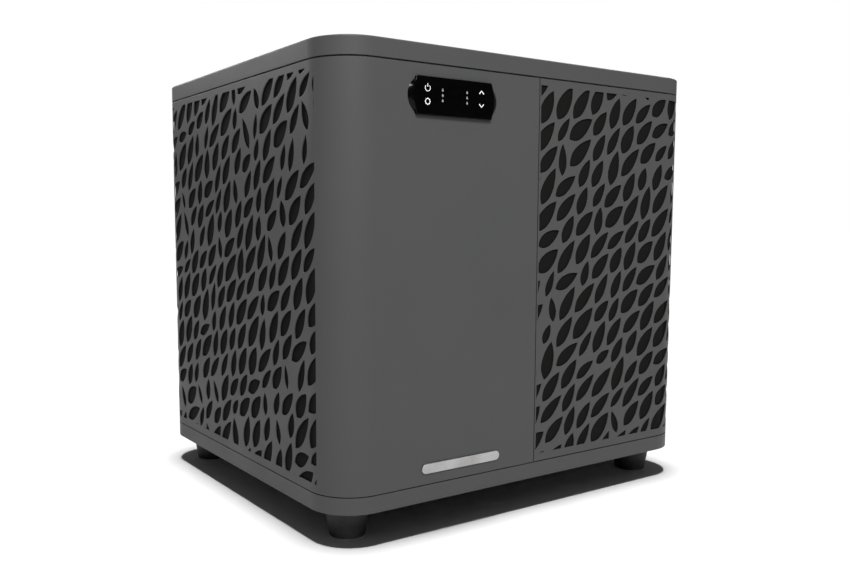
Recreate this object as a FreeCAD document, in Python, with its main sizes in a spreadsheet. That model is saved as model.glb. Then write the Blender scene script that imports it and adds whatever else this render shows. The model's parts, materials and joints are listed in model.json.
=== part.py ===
"""Top-discharge heat pump unit: casing, feet, refrigerant circuit, fan, exchanger and water unions.

The frame is +Z up with the floor at z = 0.  The front faces -Y, and the width runs along X.
Lengths are millimetres.  Inner coordinates are centred on the casing, and every finished piece is
then moved by casing_shift, so that the origin is under the middle of the whole unit's box.
"""
import FreeCAD
import Part
import Sketcher
import math
import os
import random

DIMENSIONS = {
    # casing
    "body_width": 560, "body_depth": 482, "corner_radius": 50, "total_height": 533,
    "casing_shift": -23.75, "foot_height": 36, "skirt_height": 18.5, "seam_gap": 1.2,
    "cover_gap": 1.8, "sheet_gauge": 1.2, "cover_height": 20, "cover_wall": 2.5, "edge_round": 2,
    "pan_wall": 1.2, "field_margin": 9.3, "field_clip_angle": 12, "seam_border": 1.5,
    "screen_gap": 0.6, "screen_gauge": 0.6, "screen_height": 470, "screen_end_gap": 5,
    # feet and their bolts
    "foot_inset": 50, "foot_side_inset": 45.5, "foot_top_radius": 26, "foot_sole_radius": 20,
    "foot_recess_radius": 9,
    "foot_recess_depth": 14, "foot_hole_radius": 4.2, "foot_bolt_radius": 4, "foot_head_radius": 7.5,
    "foot_head_height": 5.5, "nut_height": 6.5,
    # posts inside the casing
    "post_web": 40, "post_flange": 14, "post_gauge": 2,
    # fan, deck, guard
    "deck_floor": 508, "deck_rim": 17, "deck_gauge": 2, "throat_radius": 184, "throat_height": 56,
    "guard_radius": 192, "guard_gauge": 2.5, "guard_pitch": 13, "guard_slot": 9, "guard_spoke": 6,
    "fan_tip_radius": 178, "fan_hub_radius": 45, "fan_hub_height": 40, "fan_floor": 468,
    "shaft_radius": 5, "shaft_bottom": 386, "shaft_top": 519, "bearing_gap": 0.05,
    "motor_radius": 45, "motor_floor": 395, "motor_height": 67, "motor_cavity_radius": 33,
    "rotor_radius": 32, "bracket_width": 80, "bracket_gauge": 2.5, "fan_nut_height": 8,
    # compressor
    "compressor_x": -75, "compressor_y": -25, "shell_radius": 58, "shell_floor": 62,
    "shell_top": 330, "shell_wall": 4, "crank_radius": 8, "roller_radius": 20,
    "crank_throw": 4.5, "mount_circle": 76, "stud_radius": 4.9, "grommet_radius": 12,
    "accumulator_x": -165, "accumulator_radius": 28,
    # evaporator coils
    "coil_gap": 12, "coil_depth": 36, "coil_bend": 20.8, "coil_floor": 46, "coil_height": 454,
    "coil_end_gap": 44, "coil_side_end": 165, "coil_plate_gauge": 1.5,
    # exchanger and water unions
    "tank_x": 125, "tank_y": 118, "tank_radius": 78, "tank_wall": 5, "tank_top": 382,
    "coil_pitch": 36, "coil_wound_height": 216, "coil_wound_radius": 48, "coil_tube_radius": 6,
    "inlet_height": 110, "outlet_height": 320, "stub_bore": 23, "thread_radius": 33,
    "stub_reach": 258, "tail_reach": 292, "socket_radius": 25.1, "socket_depth": 26,
    "union_nut_radius": 42, "union_nut_length": 25, "running_gap": 0.3,
    # refrigerant pipes and valves
    "pipe_radius": 5, "pipe_bend": 12, "valve_x": -15, "valve_y": 95, "valve_z": 340,
    "valve_radius": 13, "valve_bore": 10.5, "valve_length": 84, "spool_length": 60,
    # control pod and badge
    "pod_x": -127.9, "pod_z": 478, "pod_width": 104, "pod_height": 40.6, "pod_base_bulge": 9.2,
    "pod_glass_bulge": 3, "pod_proud": 3.5, "glass_gauge": 1.5, "badge_x": -113, "badge_z": 73.5,
    "badge_width": 112, "badge_height": 11, "badge_gauge": 1.5,
    # electrical box, gland and drain
    "box_x": -120, "box_width": 160, "box_floor": 130, "box_height": 270, "box_depth": 64,
    "box_gauge": 1.5, "gland_x": 180, "gland_z": 215, "gland_bore": 5.2, "drain_x": -60,
    "drain_y": 150, "drain_radius": 9, "drain_bore": 6.5, "drain_length": 16,
    "drain_neck_radius": 8, "drain_neck_length": 4,
}

TURN_Y = FreeCAD.Rotation(FreeCAD.Vector(1, 0, 0), -90)
TURN_X = FreeCAD.Rotation(FreeCAD.Vector(0, 1, 0), 90)
HALF_TURN = FreeCAD.Rotation(FreeCAD.Vector(0, 0, 1), 180)


class Size:
    """A length that carries both its value and the sheet expression it is worked out from."""

    def __init__(self, text, value):
        self.text = text
        self.value = value

    def join(self, sign, other, value):
        return Size("(" + self.text + " " + sign + " " + other.text + ")", value)

    def __add__(self, other):
        other = as_size(other)
        return self.join("+", other, self.value + other.value)

    def __sub__(self, other):
        other = as_size(other)
        return self.join("-", other, self.value - other.value)

    def __mul__(self, other):
        other = as_size(other)
        return self.join("*", other, self.value * other.value)

    def __truediv__(self, other):
        other = as_size(other)
        return self.join("/", other, self.value / other.value)

    def __radd__(self, other):
        return as_size(other) + self

    def __rsub__(self, other):
        return as_size(other) - self

    def __rmul__(self, other):
        return as_size(other) * self

    def __neg__(self):
        return as_size(0) - self

    def __float__(self):
        return float(self.value)


def as_size(number):
    if isinstance(number, Size):
        return number
    return Size("(%.6f)" % number, float(number))


class Dimensions:
    """The driving dimensions by name, each one a Size bound to its own cell."""

    def __init__(self, document):
        self.sheet = document.addObject("Spreadsheet::Sheet", "Dims")
        for row, (name, value) in enumerate(DIMENSIONS.items(), start=1):
            self.sheet.set("A%d" % row, name)
            self.sheet.set("B%d" % row, str(value))
            self.sheet.setAlias("B%d" % row, name)
            setattr(self, name, Size("Dims." + name, float(value)))


doc = FreeCAD.newDocument("HeatPumpUnit")
d = Dimensions(doc)
doc.recompute()
NODES = []


# ---------------------------------------------------------------- building blocks

def bind(thing, **sizes):
    for name, size in sizes.items():
        thing.setExpression(name, as_size(size).text)


def place(thing, spot=(0, 0, 0), rotation=None):
    if rotation is not None:
        thing.Placement = FreeCAD.Placement(FreeCAD.Vector(), rotation)
    for axis, size in zip("xyz", spot):
        thing.setExpression(".Placement.Base." + axis, as_size(size).text)
    return thing


def node(thing, label, spot=(0, 0, 0), rotation=None):
    """Finishes a sub-part: names it and moves it from casing coordinates to the unit's own."""
    thing.Label = label
    place(thing, (spot[0], spot[1] + d.casing_shift, spot[2]), rotation)
    NODES.append(thing)
    return thing


def box(name, size, corner=(0, 0, 0), rotation=None):
    thing = doc.addObject("Part::Box", name)
    bind(thing, Length=size[0], Width=size[1], Height=size[2])
    return place(thing, corner, rotation)


def rod(name, radius, length, base=(0, 0, 0), rotation=None, angle=360):
    thing = doc.addObject("Part::Cylinder", name)
    bind(thing, Radius=radius, Height=length, Angle=angle)
    return place(thing, base, rotation)


def hexagon(name, radius, length, base=(0, 0, 0), rotation=None):
    thing = doc.addObject("Part::Prism", name)
    thing.Polygon = 6
    bind(thing, Circumradius=radius, Height=length)
    return place(thing, base, rotation)


def fuse(name, parts):
    thing = doc.addObject("Part::MultiFuse", name)
    thing.Shapes = parts
    return thing


def group(name, parts):
    thing = doc.addObject("Part::Compound", name)
    thing.Links = parts
    return thing


def cut(name, base, tools):
    thing = doc.addObject("Part::Cut", name)
    thing.Base = base
    thing.Tool = tools[0] if len(tools) == 1 else fuse(name + "Tool", tools)
    return thing


def ring(name, outer, inner, length, base=(0, 0, 0), rotation=None):
    solid = rod(name + "Outer", outer, length, base, rotation)
    return cut(name, solid, [rod(name + "Inner", inner, length, base, rotation)])


def coded(name, shape):
    thing = doc.addObject("Part::Feature", name)
    thing.Shape = shape
    return thing


def bent_pipe(name, points, radius, bend):
    """A solid pipe along straight runs joined by tangent arcs of the bend radius."""
    spots = [FreeCAD.Vector(*[float(value) for value in point]) for point in points]
    edges = []
    start = spots[0]
    for before, corner, after in zip(spots, spots[1:], spots[2:]):
        toward = (before - corner).normalize()
        away = (after - corner).normalize()
        half = toward.getAngle(away) / 2
        reach = bend / math.tan(half)
        first = corner + toward * reach
        last = corner + away * reach
        centre = corner + (toward + away).normalize() * (bend / math.sin(half))
        middle = centre + (corner - centre).normalize() * bend
        edges.append(Part.LineSegment(start, first).toShape())
        edges.append(Part.Arc(first, middle, last).toShape())
        start = last
    edges.append(Part.LineSegment(start, spots[-1]).toShape())
    heading = (spots[1] - spots[0]).normalize()
    section = Part.Wire([Part.Circle(spots[0], heading, radius).toShape()])
    return coded(name, Part.Wire(edges).makePipeShell([section], True, False))


# ---------------------------------------------------------------- sketched bodies

def origin_plane(body, role):
    return [plane for plane in body.Origin.OriginFeatures if plane.Role == role][0]


def new_sketch(body, name, role, lift):
    sketch = body.newObject("Sketcher::SketchObject", name)
    sketch.AttachmentSupport = (origin_plane(body, role), [""])
    sketch.MapMode = "FlatFace"
    sketch.setExpression(".AttachmentOffset.Base.z", as_size(lift).text)
    return sketch


def pin_point(sketch, index, end, spot, tag):
    """Fixes one sketch point at a sheet-driven spot, measured from the sketch origin."""
    for kind, axis, size in (("DistanceX", -2, spot[0]), ("DistanceY", -1, spot[1])):
        size = as_size(size)
        if size.value == 0:
            sketch.addConstraint(Sketcher.Constraint("PointOnObject", index, end, axis))
            continue
        rule = Sketcher.Constraint(kind, -1, 1, index, end, size.value)
        number = sketch.addConstraint(rule)
        sketch.renameConstraint(number, tag + kind[-1].lower())
        sketch.setExpression("Constraints." + tag + kind[-1].lower(), size.text)


def outline_sketch(body, name, role, corners, lift=0):
    """A closed outline of straight sides through sheet-driven corners."""
    sketch = new_sketch(body, name, role, lift)
    spots = [FreeCAD.Vector(float(a), float(b), 0) for a, b in corners]
    count = len(spots)
    for index in range(count):
        sketch.addGeometry(Part.LineSegment(spots[index], spots[(index + 1) % count]))
    for index in range(count):
        sketch.addConstraint(Sketcher.Constraint("Coincident", index, 2, (index + 1) % count, 1))
    for index, corner in enumerate(corners):
        pin_point(sketch, index, 1, corner, "p%d" % index)
    return sketch


def pad(body, sketch, length):
    feature = body.newObject("PartDesign::Pad", sketch.Name + "Pad")
    feature.Profile = sketch
    bind(feature, Length=length)
    sketch.Visibility = False
    return feature


def turned(name, profile):
    """A body turned about its own Z axis from a profile of (radius, height) corners."""
    body = doc.addObject("PartDesign::Body", name)
    sketch = outline_sketch(body, name + "Profile", "XZ_Plane", profile)
    feature = body.newObject("PartDesign::Revolution", name + "Turn")
    feature.Profile = sketch
    feature.ReferenceAxis = (sketch, ["V_Axis"])
    feature.Angle = 360
    return body


def named_edges(shape, wanted):
    return ["Edge%d" % number for number, edge in enumerate(shape.Edges, start=1) if wanted(edge)]


def is_upright(edge):
    return edge.Length > 1 and abs(edge.tangentAt(edge.FirstParameter).z) > 0.999


def tray(name, width, depth, radius, floor, height, wall, open_top):
    """A pressed tray: padded, its upright corners rounded, then hollowed to one wall."""
    body = doc.addObject("PartDesign::Body", name)
    corners = [(-width / 2, -depth / 2), (width / 2, -depth / 2),
               (width / 2, depth / 2), (-width / 2, depth / 2)]
    block = pad(body, outline_sketch(body, name + "Plan", "XY_Plane", corners, floor), height)
    doc.recompute()
    corner = body.newObject("PartDesign::Fillet", name + "Corner")
    corner.Base = (block, named_edges(block.Shape, is_upright))
    bind(corner, Radius=radius)
    doc.recompute()
    level = float(floor) + (float(height) if open_top else 0)
    faces = ["Face%d" % number for number, face in enumerate(corner.Shape.Faces, start=1)
             if abs(face.BoundBox.ZMin - level) < 0.01 and abs(face.BoundBox.ZMax - level) < 0.01]
    hollow = body.newObject("PartDesign::Thickness", name + "Hollow")
    hollow.Base = (corner, faces)
    hollow.Reversed = True
    hollow.Join = 0
    bind(hollow, Value=wall)
    doc.recompute()
    if not open_top:
        top = float(floor) + float(height)
        rim = named_edges(hollow.Shape, lambda edge: edge.BoundBox.ZMin > top - 0.01)
        rounding = body.newObject("PartDesign::Fillet", name + "Rim")
        rounding.Base = (hollow, rim)
        bind(rounding, Radius=d.edge_round)
        doc.recompute()
    return body


# ---------------------------------------------------------------- derived places

HALF_W = d.body_width / 2
HALF_D = d.body_depth / 2
PAN_FLOOR = d.foot_height + d.pan_wall
SKIRT_TOP = d.foot_height + d.skirt_height
SHEET_FLOOR = SKIRT_TOP + d.seam_gap
COVER_FLOOR = d.total_height - d.cover_height
SHEET_TOP = COVER_FLOOR - d.cover_gap
SHEET_HEIGHT = SHEET_TOP - SHEET_FLOOR
FLAT_X = HALF_W - d.corner_radius
FLAT_Y = HALF_D - d.corner_radius
SEAM = d.seam_gap / 2
INNER_W = HALF_W - d.sheet_gauge
INNER_D = HALF_D - d.sheet_gauge
FOOT_SPOTS = {
    "front_left": (-(HALF_W - d.foot_side_inset), -(HALF_D - d.foot_inset)),
    "front_right": (HALF_W - d.foot_side_inset, -(HALF_D - d.foot_inset)),
    "rear_left": (-(HALF_W - d.foot_side_inset), HALF_D - d.foot_inset),
    "rear_right": (HALF_W - d.foot_side_inset, HALF_D - d.foot_inset),
}
COVER_SCREW_SPOTS = [(x, y) for x in (-222, 222) for y in (-183, 183)]
REAR_SCREW_X = 14
REAR_SCREW_LEVELS = (80, 180, 280, 380, 480)
GROMMET_ANGLES = (90, 210, 330)


# ---------------------------------------------------------------- base and feet

def base_pan():
    pan = tray("Pan", d.body_width, d.body_depth, d.corner_radius, d.foot_height,
               d.skirt_height, d.pan_wall, True)
    holes = [rod("PanHole", d.foot_hole_radius, 10, (x, y, d.foot_height - 2))
             for x, y in FOOT_SPOTS.values()]
    holes.append(rod("PanDrain", d.drain_neck_radius + 0.2, 10, (d.drain_x, d.drain_y, d.foot_height - 2)))
    for x, y in grommet_spots():
        holes.append(rod("PanStud", d.stud_radius, 10, (x, y, d.foot_height - 2)))
    node(cut("BasePan", pan, [group("PanHoles", holes)]), "base_pan")


def feet():
    profile = [(d.foot_recess_radius, 0), (d.foot_sole_radius, 0),
               (d.foot_top_radius, d.foot_height), (d.foot_hole_radius, d.foot_height),
               (d.foot_hole_radius, d.foot_recess_depth),
               (d.foot_recess_radius, d.foot_recess_depth)]
    bolts = []
    for corner, (x, y) in FOOT_SPOTS.items():
        node(turned("Foot", profile), "rubber_foot_" + corner, (x, y, 0))
        head_floor = d.foot_recess_depth - d.foot_head_height
        head = hexagon("BoltHead", d.foot_head_radius, d.foot_head_height, (x, y, head_floor))
        shank = rod("BoltShank", d.foot_bolt_radius, PAN_FLOOR - d.foot_recess_depth,
                    (x, y, d.foot_recess_depth))
        nut = hexagon("BoltNut", d.foot_head_radius, d.nut_height, (x, y, PAN_FLOOR))
        bolts.append(fuse("FootBolt", [head, shank, nut]))
    node(group("FootBolts", bolts), "foot_bolts")


def drain_nozzle():
    """A hose barrel under the pan, on a narrower neck that goes up through the pan."""
    tip = d.foot_height - d.drain_neck_length - d.drain_length
    spot = (d.drain_x, d.drain_y, tip)
    barrel = rod("DrainBarrel", d.drain_radius, d.drain_length, spot)
    neck = rod("DrainNeck", d.drain_neck_radius, d.drain_length + d.drain_neck_length + d.pan_wall + 1, spot)
    flange = rod("DrainFlange", d.drain_radius + 6, 2, (d.drain_x, d.drain_y, PAN_FLOOR))
    bore = rod("DrainBore", d.drain_bore, 40, (d.drain_x, d.drain_y, tip - 5))
    node(cut("Drain", fuse("DrainOuter", [barrel, neck, flange]), [bore]), "drain_nozzle")


# ---------------------------------------------------------------- leaf pattern

LEAF_START = 0.62
LEAF_LENGTH = (41.0, 52.0)
LEAF_WIDTH = (17.0, 22.0)
LEAF_BASE_SHARE = 0.40
LEAF_LEAN = 37.0
LEAF_LEAN_SPREAD = 13.0
LEAF_ODD_LEAN = (-28.0, -8.0)
LEAF_ODD_ONE = 18
LEAF_ROW = 45.5
LEAF_COLUMN = 38.0
LEAF_SCATTER = 5.0
LEAF_RIB = 4.6
LEAF_NEAR = 56.0
LEAF_ROUNDS = 60
LEAF_SEED = 11


class Leaf:
    """A pointed hole, widest nearer its base: middle (along, up), length, half width and lean."""

    def __init__(self, along, up, length, half_width, lean):
        self.along = along
        self.up = up
        self.base = length * LEAF_BASE_SHARE
        self.tip = length * (1 - LEAF_BASE_SHARE)
        self.half_width = half_width
        self.lean = math.radians(lean)

    def reach(self, height):
        return self.tip if height > 0 else self.base

    def local(self, along, up):
        side = (along - self.along) * math.cos(self.lean) + (up - self.up) * math.sin(self.lean)
        height = (up - self.up) * math.cos(self.lean) - (along - self.along) * math.sin(self.lean)
        return side, height

    def outside(self, side, height):
        """Signed distance of a local point from the leaf's outline."""
        reach = self.reach(height)
        radius = (reach ** 2 + self.half_width ** 2) / (2 * self.half_width)
        offset = radius - self.half_width
        if abs(height) * offset > (abs(side) + offset) * reach:
            return math.hypot(side, abs(height) - reach)
        return math.hypot(abs(side) + offset, height) - radius

    def rim(self, count=8):
        """Points around the leaf in pattern coordinates."""
        points = []
        for step in range(count * 2):
            turn = math.pi * step / count
            height = math.cos(turn) * self.reach(math.cos(turn))
            side = self.half_width * math.sin(turn) * abs(math.sin(turn))
            along = self.along + side * math.cos(self.lean) - height * math.sin(self.lean)
            up = self.up + side * math.sin(self.lean) + height * math.cos(self.lean)
            points.append((along, up))
        return points

    def gap_to(self, other):
        return min(self.outside(*self.local(along, up)) for along, up in other.rim())

    def resize(self, factor):
        self.base *= factor
        self.tip *= factor
        self.half_width *= factor

    def step_from(self, other, step):
        """Moves both leaves apart along the line between their middles."""
        along = self.along - other.along
        up = self.up - other.up
        distance = math.hypot(along, up)
        self.along += step * along / distance
        self.up += step * up / distance
        other.along -= step * along / distance
        other.up -= step * up / distance


def scattered_leaves(low, high, floor, top):
    """Small leaves on a leaning staggered lattice, with their places and leans varied."""
    chance = random.Random(LEAF_SEED)
    lean = math.radians(LEAF_LEAN)
    reach = int((high - low + top - floor) / LEAF_COLUMN) + 2
    border = LEAF_NEAR / 2
    leaves = []
    for row in range(-reach, reach):
        for column in range(-reach, reach):
            tip = LEAF_ROW * (row / 2)
            side = LEAF_COLUMN * (column + (row % 2) / 2)
            along = low + side * math.cos(lean) - tip * math.sin(lean)
            up = floor + side * math.sin(lean) + tip * math.cos(lean)
            along += chance.uniform(-LEAF_SCATTER, LEAF_SCATTER)
            up += chance.uniform(-LEAF_SCATTER, LEAF_SCATTER)
            swing = LEAF_LEAN + chance.gauss(0, LEAF_LEAN_SPREAD)
            if chance.randrange(LEAF_ODD_ONE) == 0:
                swing = chance.uniform(*LEAF_ODD_LEAN)
            length = chance.uniform(*LEAF_LENGTH)
            width = chance.uniform(*LEAF_WIDTH)
            inside = low - border < along < high + border and floor - border < up < top + border
            if inside:
                leaves.append(Leaf(along, up, length, width / 2, swing))
    return leaves


def neighbours(leaves):
    """Pairs of leaves near enough to touch when fully grown."""
    pairs = []
    for number, first in enumerate(leaves):
        for second in leaves[number + 1:]:
            if math.hypot(first.along - second.along, first.up - second.up) < LEAF_NEAR:
                pairs.append((first, second))
    return pairs


def leaf_pattern(low, high, floor, top):
    """Leaves grown side by side until a rib of even width is left between them."""
    leaves = scattered_leaves(low, high, floor, top)
    pairs = neighbours(leaves)
    full_base = [leaf.base for leaf in leaves]
    for leaf in leaves:
        leaf.resize(LEAF_START)
    for turn in range(LEAF_ROUNDS):
        for leaf in leaves:
            leaf.room = LEAF_NEAR
        for first, second in pairs:
            gap = min(first.gap_to(second), second.gap_to(first))
            first.room = min(first.room, gap)
            second.room = min(second.room, gap)
            if gap < LEAF_RIB + 1:
                first.step_from(second, (LEAF_RIB + 1 - gap) / 6)
        for leaf, full in zip(leaves, full_base):
            if leaf.room < LEAF_RIB:
                leaf.resize(0.975)
            elif leaf.room > LEAF_RIB + 0.4 and leaf.base < full:
                leaf.resize(1.035)
    return leaves


def leaf_prism(leaf, origin, along_axis, out_axis):
    """The leaf as a prism through the sheet, standing on the plane at its own middle."""
    def spot(side, height):
        along = side * math.cos(leaf.lean) - height * math.sin(leaf.lean)
        up = side * math.sin(leaf.lean) + height * math.cos(leaf.lean)
        return origin + along_axis * along + FreeCAD.Vector(0, 0, up) - out_axis * 6

    def quarter(sign, reach, direction):
        """The arc from a side's widest point to the tip or the base."""
        radius = (reach ** 2 + leaf.half_width ** 2) / (2 * leaf.half_width)
        half = math.asin(reach / radius) / 2
        middle = spot(sign * (leaf.half_width - radius + radius * math.cos(half)),
                      direction * radius * math.sin(half))
        return Part.Arc(spot(sign * leaf.half_width, 0), middle, spot(0, direction * reach)).toShape()
    edges = [quarter(1, leaf.tip, 1), quarter(-1, leaf.tip, 1),
             quarter(-1, leaf.base, -1), quarter(1, leaf.base, -1)]
    return Part.Face(Part.Wire(Part.__sortEdges__(edges))).extrude(out_axis * 12)


def shell_frame(along):
    """Point and directions on the left shell's outer face at a distance along its path.

    The path starts where the side's flat starts near the front, runs along the side, round the
    rear corner and along the rear to the seam.
    """
    radius = float(d.corner_radius)
    side = 2 * float(FLAT_Y)
    if along < side:
        spot = FreeCAD.Vector(-float(HALF_W), along - float(FLAT_Y), 0)
        heading = FreeCAD.Vector(0, 1, 0)
        if along < 0:
            turn = -along / radius
            spot = FreeCAD.Vector(-float(FLAT_X) - radius * math.cos(turn),
                                  -float(FLAT_Y) - radius * math.sin(turn), 0)
            heading = FreeCAD.Vector(-math.sin(turn), math.cos(turn), 0)
    elif along < side + radius * math.pi / 2:
        turn = (along - side) / radius
        spot = FreeCAD.Vector(-float(FLAT_X) - radius * math.cos(turn),
                              float(FLAT_Y) + radius * math.sin(turn), 0)
        heading = FreeCAD.Vector(math.sin(turn), math.cos(turn), 0)
    else:
        spot = FreeCAD.Vector(-float(FLAT_X) + along - side - radius * math.pi / 2,
                              float(HALF_D), 0)
        heading = FreeCAD.Vector(1, 0, 0)
    out = FreeCAD.Vector(-heading.y, heading.x, 0)
    return spot, heading, out


def field_limits():
    clip = float(d.corner_radius) * math.radians(float(d.field_clip_angle))
    end = 2 * float(FLAT_Y) + float(d.corner_radius) * math.pi / 2 + float(FLAT_X)
    end = end - float(SEAM) - float(d.seam_border)
    floor = float(SHEET_FLOOR) + float(d.field_margin)
    return -clip, end, floor, float(SHEET_TOP) - float(d.field_margin) + 1.8


def leaf_cutter(name, leaves, start, stop, field):
    """All leaves that can touch one stretch of the shell, trimmed to the perforated field."""
    low, high, floor, top = field_limits()
    prisms = []
    for leaf in leaves:
        if not start - 24 < leaf.along < stop + 24:
            continue
        spot, heading, out = shell_frame(leaf.along)
        prism = leaf_prism(leaf, spot + FreeCAD.Vector(0, 0, leaf.up), heading, out)
        inside = low + 24 < leaf.along < high - 24 and floor + 24 < leaf.up < top - 24
        if not inside:
            prism = prism.common(field)
        prisms.extend(prism.Solids)
    return coded(name, Part.makeCompound(prisms))


def field_solid():
    """A solid that covers the left shell's perforated field and nothing else of its sheet."""
    low, high, floor, top = field_limits()
    radius = float(d.corner_radius)
    reach = 40.0
    height = top - floor
    centre = FreeCAD.Vector(-float(FLAT_X), float(FLAT_Y), floor)
    side = Part.makeBox(reach, 2 * float(FLAT_Y), height,
                        FreeCAD.Vector(-float(HALF_W) - reach / 2, -float(FLAT_Y), floor))
    rear = Part.makeBox(float(FLAT_X) - float(SEAM) - float(d.seam_border), reach, height,
                        FreeCAD.Vector(-float(FLAT_X), float(HALF_D) - reach / 2, floor))
    corner = Part.makeCylinder(radius + reach, height, centre, FreeCAD.Vector(0, 0, 1), 90)
    corner.rotate(centre, FreeCAD.Vector(0, 0, 1), 90)
    front = FreeCAD.Vector(-float(FLAT_X), -float(FLAT_Y), floor)
    nose = Part.makeCylinder(radius + reach, height, front, FreeCAD.Vector(0, 0, 1),
                             float(d.field_clip_angle))
    nose.rotate(front, FreeCAD.Vector(0, 0, 1), 180)
    return side.fuse([rear, corner, nose]).removeSplitter()


# ---------------------------------------------------------------- casing shells

def corner_sheet(name, centre, start, sweep):
    """A bent strip of casing sheet round one upright corner."""
    rotation = FreeCAD.Rotation(FreeCAD.Vector(0, 0, 1), start)
    spot = (centre[0], centre[1], SHEET_FLOOR)
    outer = rod(name + "Outer", d.corner_radius, SHEET_HEIGHT, spot, rotation, sweep)
    inner = rod(name + "Inner", d.corner_radius - d.sheet_gauge, SHEET_HEIGHT, spot, rotation, sweep)
    return cut(name, outer, [inner])


def shell_stretches():
    """The left shell's three perforated stretches: side, rear corner and rear."""
    split = d.field_clip_angle + 2
    side = box("SideSheet", (d.sheet_gauge, FLAT_Y * 2, SHEET_HEIGHT), (-HALF_W, -FLAT_Y, SHEET_FLOOR))
    nose = corner_sheet("SideNose", (-FLAT_X, -FLAT_Y), 180, split)
    corner = corner_sheet("CornerSheet", (-FLAT_X, FLAT_Y), 90, 90)
    rear = box("RearSheet", (FLAT_X - SEAM, d.sheet_gauge, SHEET_HEIGHT),
               (-FLAT_X, INNER_D, SHEET_FLOOR))
    side_end = 2 * float(FLAT_Y)
    corner_end = side_end + float(d.corner_radius) * math.pi / 2
    low, high, floor, top = field_limits()
    return [("side", fuse("SideStrip", [side, nose]), low, side_end),
            ("corner", corner, side_end, corner_end),
            ("half", rear, corner_end, high)]


def grilles():
    leaves = leaf_pattern(*field_limits())
    field = field_solid()
    names = {"left": {"side": "left_shell_side_grille", "corner": "left_shell_rear_corner_grille",
                      "half": "left_shell_rear_grille"},
             "right": {"side": "right_shell_side_grille", "corner": "right_shell_front_corner_grille",
                       "half": "right_shell_front_grille"}}
    for part, sheet, start, stop in shell_stretches():
        cutter = leaf_cutter("Leaves" + part, leaves, start, stop, field)
        node(cut("LeftGrille" + part, sheet, [cutter]), names["left"][part])
        right = cut("RightGrille" + part, sheet, [cutter])
        node(right, names["right"][part], rotation=HALF_TURN)


def plain_half(name):
    """The plain half of a shell, in the left shell's place: front flat and most of its corner."""
    flat = box(name + "Flat", (FLAT_X - SEAM, d.sheet_gauge, SHEET_HEIGHT),
               (-FLAT_X, -HALF_D, SHEET_FLOOR))
    split = d.field_clip_angle + 2
    start = 180 + float(split)
    return fuse(name, [flat, corner_sheet(name + "Corner", (-FLAT_X, -FLAT_Y), start, 90 - split)])


def plain_sheets():
    window = box("PodWindow", (82, 10, 24), (d.pod_x - 41, -HALF_D - 5, d.pod_z - 12))
    node(cut("FrontSheet", plain_half("FrontPlain"), [window]), "left_shell_front")
    holes = [rod("UnionHole", d.thread_radius + 2, 10, (-d.tank_x, -HALF_D - 5, level), TURN_Y)
             for level in (d.inlet_height, d.outlet_height)]
    holes.append(rod("GlandHole", 8.2, 10, (-d.gland_x, -HALF_D - 5, d.gland_z), TURN_Y))
    for level in REAR_SCREW_LEVELS:
        holes.append(rod("RearScrewHole", 2.1, 10, (-REAR_SCREW_X, -HALF_D - 5, level), TURN_Y))
    rear = cut("RearSheetPlain", plain_half("RearPlain"), [group("RearHoles", holes)])
    node(rear, "right_shell_rear", rotation=HALF_TURN)


def upright_strip(name, corners, floor, height):
    body = doc.addObject("PartDesign::Body", name)
    pad(body, outline_sketch(body, name + "Plan", "XY_Plane", corners, floor), height)
    return body


def posts():
    """Channels behind the two seams and folded struts across the two plain corners."""
    low = -(d.post_web - 4)
    high = low + d.post_web
    face = -INNER_D
    back = face + d.post_flange
    gauge = d.post_gauge
    height = d.deck_floor - PAN_FLOOR
    channel = [(low, face), (high, face), (high, back), (high - gauge, back),
               (high - gauge, face + gauge), (low + gauge, face + gauge), (low + gauge, back),
               (low, back)]
    front = upright_strip("SeamPostFront", channel, PAN_FLOOR, height)
    rear = upright_strip("SeamPostRear", channel, PAN_FLOOR, height)
    place(rear, rotation=HALF_TURN)
    drills = [rod("PostDrill", 1.95, 10, (REAR_SCREW_X, HALF_D - 8, level), TURN_Y)
              for level in REAR_SCREW_LEVELS]
    rear = cut("SeamPostRearDrilled", rear, drills)
    reach = 30
    strut = [(-FLAT_X + reach, face), (-FLAT_X + reach, face + gauge),
             (-FLAT_X + 1, face + gauge), (-FLAT_X - reach, face + gauge + reach + 1),
             (-FLAT_X - reach, face + reach), (-FLAT_X, face)]
    left = upright_strip("CornerPostLeft", strut, PAN_FLOOR, height)
    right = upright_strip("CornerPostRight", strut, PAN_FLOOR, height)
    place(right, rotation=HALF_TURN)
    node(group("CasingPosts", [front, rear, left, right]), "casing_posts")


def wrap_shape(face_x, face_y, centre, bend, depth, start_y, end_x, floor, height):
    """An L-shaped wall: along the left side, round the rear corner and along the rear."""
    def spot(x, y):
        return FreeCAD.Vector(x, y, floor)

    def bent(radius):
        middle = spot(centre[0] - radius * math.sqrt(0.5), centre[1] + radius * math.sqrt(0.5))
        return Part.Arc(spot(centre[0] - radius, centre[1]), middle,
                        spot(centre[0], centre[1] + radius)).toShape()
    inner_x = face_x + depth
    inner_y = face_y - depth
    edges = [Part.makeLine(spot(face_x, start_y), spot(face_x, centre[1])), bent(bend + depth),
             Part.makeLine(spot(centre[0], face_y), spot(end_x, face_y)),
             Part.makeLine(spot(end_x, face_y), spot(end_x, inner_y)),
             Part.makeLine(spot(end_x, inner_y), spot(centre[0], inner_y)), bent(bend),
             Part.makeLine(spot(inner_x, centre[1]), spot(inner_x, start_y)),
             Part.makeLine(spot(inner_x, start_y), spot(face_x, start_y))]
    outline = Part.Wire(Part.__sortEdges__(edges))
    return Part.Face(outline).extrude(FreeCAD.Vector(0, 0, height))


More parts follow.
